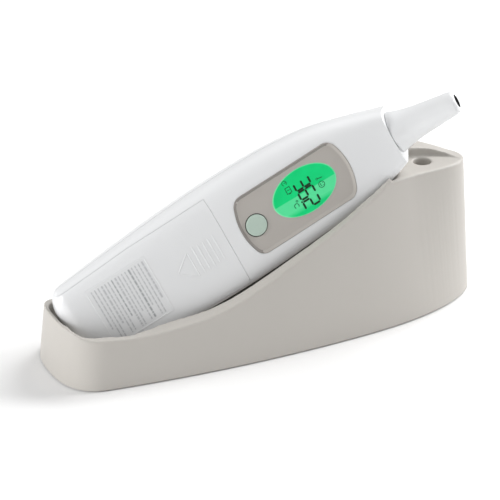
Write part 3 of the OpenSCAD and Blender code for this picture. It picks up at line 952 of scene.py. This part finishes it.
def make_digits():
    """The reading and its decimal point."""
    bars = []
    tall, wide, w = 5.6, 2.7, 0.68
    for ch, left in (("3", 3.75), ("6", 0.35), ("2", -3.2)):
        place = reading(left, -2.55)
        for name in DIGITS[ch]:
            (x0, y0), (x1, y1) = CELLS[name]
            bars.append([place(p) for p in segment(x0 * wide, y0 * tall, x1 * wide, y1 * tall, w)])
    dot = reading(-2.65, -2.9)
    bars.append([dot(p) for p in [(0, -0.1), (0.55, -0.1), (0.55, 0.45), (0, 0.45)]])
    plates("display_digits", bars, 0.04, 0.05, "thermometer", "lcd", SEGMENT, lens_skin)


def make_icons():
    """Small generic signs around the reading."""
    icons = []

    def arc(cs, ct, r, a0, a1, w, n):
        for i in range(n):
            q0 = math.radians(a0 + (a1 - a0) * i / n)
            q1 = math.radians(a0 + (a1 - a0) * (i + 1) / n)
            icons.append([(cs + k * math.sin(q), ct - k * math.cos(q)) for k, q in
                          ((r - w / 2, q0), (r + w / 2, q0), (r + w / 2, q1), (r - w / 2, q1))])

    # round face with eyes and a mouth
    arc(6.05, -1.4, 1.05, 0, 360, 0.2, 28)
    arc(6.15, -1.4, 0.5, 200, 340, 0.2, 8)
    for dt in (-0.38, 0.38):
        s0, t0 = 6.4, -1.4 + dt
        icons.append([(s0, t0), (s0, t0 - 0.22), (s0 + 0.25, t0 - 0.22), (s0 + 0.25, t0)])
    # small thermometer sign
    icons.append([(5.6, 1.1), (5.6, 0.85), (7.3, 0.55), (7.3, 0.8)])
    arc(5.4, 1.0, 0.34, 0, 360, 0.16, 12)
    # degree sign and C
    arc(-4.1, -1.75, 0.3, 0, 360, 0.18, 12)
    arc(-4.9, -3.1, 0.78, 45, 315, 0.24, 16)
    # battery sign with its cap, and a clock sign beside it
    for a, b in around([(-5.7, 4.0), (-4.0, 4.0), (-4.0, 1.9), (-5.7, 1.9)]):
        p, q = np.array(a), np.array(b)
        d = (q - p) / np.linalg.norm(q - p)
        m = np.array([-d[1], d[0]]) * 0.11
        p, q = p - d * 0.1, q + d * 0.1
        icons.append([tuple(p - m), tuple(q - m), tuple(q + m), tuple(p + m)])
    icons.append([(-5.2, 1.85), (-5.2, 1.55), (-4.5, 1.55), (-4.5, 1.85)])
    icons.append([(-5.35, 3.1), (-5.35, 2.9), (-4.35, 2.9), (-4.35, 3.1)])
    arc(-5.0, 5.7, 0.78, 30, 330, 0.2, 16)
    icons.append([(-5.1, 5.8), (-5.1, 5.6), (-4.4, 5.6), (-4.4, 5.8)])
    plates("display_icons", icons, 0.035, 0.05, "thermometer", "lcd", ICON, lens_skin)


def make_button():
    """Round cap with a dished top and a stem, and a dark ring in the well under its edge, as painted shade
    for the gap around the cap.
    """
    rim, hole = BUTTON_R - 0.02, BUTTON_HOLE - 0.02
    profile = [(0.05, -0.9), (3.3, -0.9), (rim, -0.7), (rim, -0.18), (3.5, -0.06), (3.32, 0.02),
               (3.0, 0.06), (2.5, 0.05), (1.8, 0.0), (0.9, -0.03), (0.05, -0.04)]
    place = TH @ Matrix.Translation((BUTTON[0], BUTTON[1], 0))
    cap = revolve("cap", profile, place, 96)
    stem = column(0, 0, -3.8, -0.8, 1.4, 48, place)
    combine(cap, stem, "UNION")
    tidy(cap, 45)
    finish_piece(cap, "button_cap_skin", "button", "mint_plastic", MINT, "button_cap")
    # painted shade: a dark ring under the cap's edge, where the gap around the cap lies in shade
    section = [(hole, -2.0), (hole, -1.62), (3.2, -1.72), (1.7, -1.78), (1.7, -2.0)]
    well = revolve("button_well", section, place, 96)
    tidy(well, 45)
    finish_piece(well, "button_well", "thermometer", "dark_plastic", DARK)


# ---- probe --------------------------------------------------------------------------
LIP_R, LIP_H = 4.0, 21.85


def make_probe():
    """Hollow probe with a rounded lip; the walls of its narrow opening are given the dark material as
    painted shade.
    """
    outside = spline([(7.38, 0.35), (7.2, 0.9), (6.8, 2.2), (6.3, 4), (5.75, 6.5), (5.25, 10), (4.85, 14),
                      (4.45, 18), (4.17, 21), (LIP_R, LIP_H)], 60)
    turns = np.radians(np.linspace(8, 90, 14))
    lip = [(LIP_R - 1.5 * (1 - math.cos(q)), LIP_H + 1.7 * math.sin(q)) for q in turns]
    mouth = [(2.42, PROBE_LEN - 0.07), (2.34, PROBE_LEN - 0.16), (TIP_BORE + 0.3, PROBE_LEN - 0.4)]
    inside = [(2.35, 20), (3.1, 17), (3.6, 12), (4.1, 8), (4.7, 5), (5.2, 2.2), (6.2, 0.05)]
    start = [(7.1, 0.05), (7.12, 0.22), (7.3, 0.26)]
    profile = start + [tuple(p) for p in outside] + lip + mouth + inside
    probe = revolve("probe", profile, PAXIS, 144)
    tidy(probe, 40)
    finish_piece(probe, "probe_cone_skin", "thermometer", "white_plastic", WHITE, "probe_cone")
    # painted shade: the walls of the opening near the tip get the dark material
    probe.data.materials.append(DARK)
    inverse = PAXIS.inverted()
    for poly in probe.data.polygons:
        c = inverse @ poly.center
        if c.z > 16 and math.hypot(c.x, c.y) < TIP_BORE + 0.37:
            poly.material_index = 1


# ---- small inner pieces and underside -------------------------------------------------
NODE_LOOKS = {
    "base_plate": DARK, "base_feet": RUBBER, "base_screws": STEEL, "lcd_glass": LCD, "backlight": DIFFUSER,
    "button_switch": DARK, "main_board": BOARD, "processor": DARK, "buzzer": DARK, "tip_window": GLASS,
    "wave_guide": GOLD, "sensor_sleeve": ALU, "thermopile": GOLD, "battery_tray": WHITE,
    "battery_cells": CELL, "battery_springs": STEEL, "battery_contacts": STEEL, "housing_screws": STEEL,
}


def give(node, material):
    """Put a material on every slot of a CAD node that is shown as it is."""
    obj = frame["nodes"][node]
    for i in range(max(1, len(obj.material_slots))):
        if not obj.material_slots:
            obj.data.materials.append(material)
        obj.material_slots[i].link = "OBJECT"
        obj.material_slots[i].material = material


def repaint_nodes():
    for node, material in NODE_LOOKS.items():
        give(node, material)


make_base()
make_housings()
make_cover_grip()
make_label_film()
make_label_print()
make_panel()
make_lens()
make_digits()
make_icons()
make_button()
make_probe()
repaint_nodes()


# ---- floor, light and camera -----------------------------------------------------------
def area_light(name, where, target, size, power):
    """Round white lamp at one place, aimed at another."""
    light = bpy.data.lights.new(name, "AREA")
    light.shape = "DISK"
    light.size = size
    light.energy = power
    obj = bpy.data.objects.new(name, light)
    bpy.context.collection.objects.link(obj)
    obj.location = where
    obj.rotation_mode = "QUATERNION"
    obj.rotation_quaternion = (Vector(target) - Vector(where)).to_track_quat("-Z", "Y")


# Strength of the even white light from all sides
WORLD = 0.44


def make_stage():
    n = Nodes("floor_white")
    whites = [(0.3, (0.93, 0.93, 0.93, 1)), (0.7, (0.96, 0.96, 0.96, 1))]
    n.link(n.ramp(n.noise(3, 2.0), whites), n.shader.inputs["Base Color"])
    n.link(n.spread(n.noise(9, 2.0), 0.85, 0.95), n.shader.inputs["Roughness"])
    floor = new_object("floor", [(-6, -6, 0), (6, -6, 0), (6, 6, 0), (-6, 6, 0)], [(0, 1, 2, 3)])
    floor.data.materials.append(n.mat)
    world = bpy.data.worlds.new("studio")
    bpy.context.scene.world = world
    world.use_nodes = True
    bg = world.node_tree.nodes["Background"]
    bg.inputs["Color"].default_value = (1, 1, 1, 1)
    bg.inputs["Strength"].default_value = WORLD
    area_light("right_side", (0.85, -0.10, 0.55), (0.0, 0, 0.04), 0.45, 6.0)
    area_light("left_side", (-0.95, -0.05, 0.35), (-0.02, 0, 0.03), 0.45, 5.8)
    area_light("top_back", (0.70, 0.35, 0.85), (0, 0, 0.05), 0.6, 6.2)


def make_camera():
    """Camera at the photograph's angle, by estimate: it looks from the front left, slightly down."""
    target = Vector((-1.68, 7.98, 24.48)) * MM
    az, el, distance = math.radians(-26), math.radians(25.5), 0.7
    toward = Vector((math.sin(az) * math.cos(el), -math.cos(az) * math.cos(el), math.sin(el)))
    data = bpy.data.cameras.new("camera")
    data.lens = 148.7
    data.sensor_width = 36
    cam = bpy.data.objects.new("camera", data)
    bpy.context.collection.objects.link(cam)
    cam.location = target + toward * distance
    cam.rotation_mode = "QUATERNION"
    cam.rotation_quaternion = (-toward).to_track_quat("-Z", "Y")
    data.clip_start, data.clip_end = 0.01, 50
    bpy.context.scene.camera = cam


make_stage()
make_camera()
bpy.context.scene.view_settings.view_transform = "Standard"
